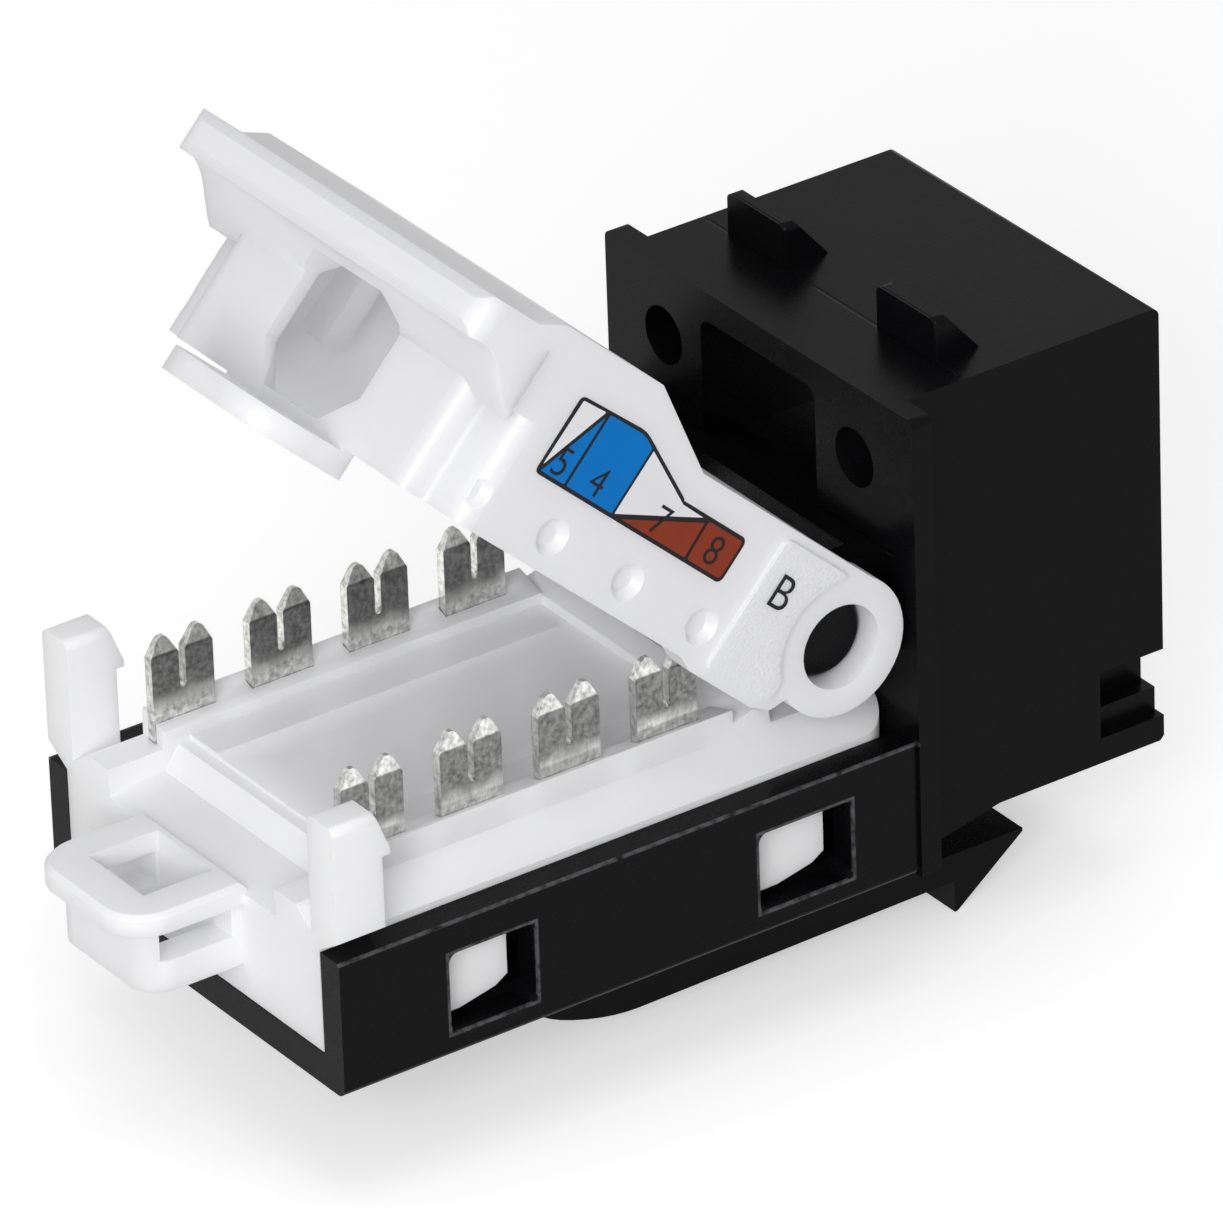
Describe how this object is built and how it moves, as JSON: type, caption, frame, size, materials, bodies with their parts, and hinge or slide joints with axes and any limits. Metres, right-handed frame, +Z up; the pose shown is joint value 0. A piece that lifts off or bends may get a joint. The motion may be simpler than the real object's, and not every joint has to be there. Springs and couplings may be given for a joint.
{
  "type": "keystone jack",
  "caption": "Network socket insert with a black latching housing, a white wiring base with forked contacts and a hinged wiring lid.",
  "frame": {"origin": "middle of the plug opening on the socket's front face", "axes": "+Y runs back from the front face towards the cable, +Z up, away from the latch arm, +X across"},
  "size_m": [0.0172, 0.0383, 0.0311],
  "materials": {
    "black_plastic": "satin",
    "white_plastic": "satin",
    "tinned_contact": "tinned",
    "gold_contact": "gold plated",
    "board_laminate": "solder mask",
    "carrier_plastic": "matte"
  },
  "bodies": {
    "socket": {"housing": "black_plastic", "idc_base": "white_plastic", "circuit_board": "board_laminate", "contact_carrier": "carrier_plastic", "idc_contact_1": "tinned_contact", "idc_contact_2": "tinned_contact", "idc_contact_3": "tinned_contact", "idc_contact_4": "tinned_contact", "idc_contact_5": "tinned_contact", "idc_contact_6": "tinned_contact", "idc_contact_7": "tinned_contact", "idc_contact_8": "tinned_contact", "socket_contact_1": "gold_contact", "socket_contact_2": "gold_contact", "socket_contact_3": "gold_contact", "socket_contact_4": "gold_contact", "socket_contact_5": "gold_contact", "socket_contact_6": "gold_contact", "socket_contact_7": "gold_contact", "socket_contact_8": "gold_contact"},
    "lid": {"lid": "white_plastic"}
  },
  "joints": [
    {"name": "lid_hinge", "type": "hinge", "parent": "socket", "child": "lid", "pos_m": [0, 0.01389, 0.00174], "axis": [1, 0, 0], "range_deg": [-43, 47]}
  ]
}
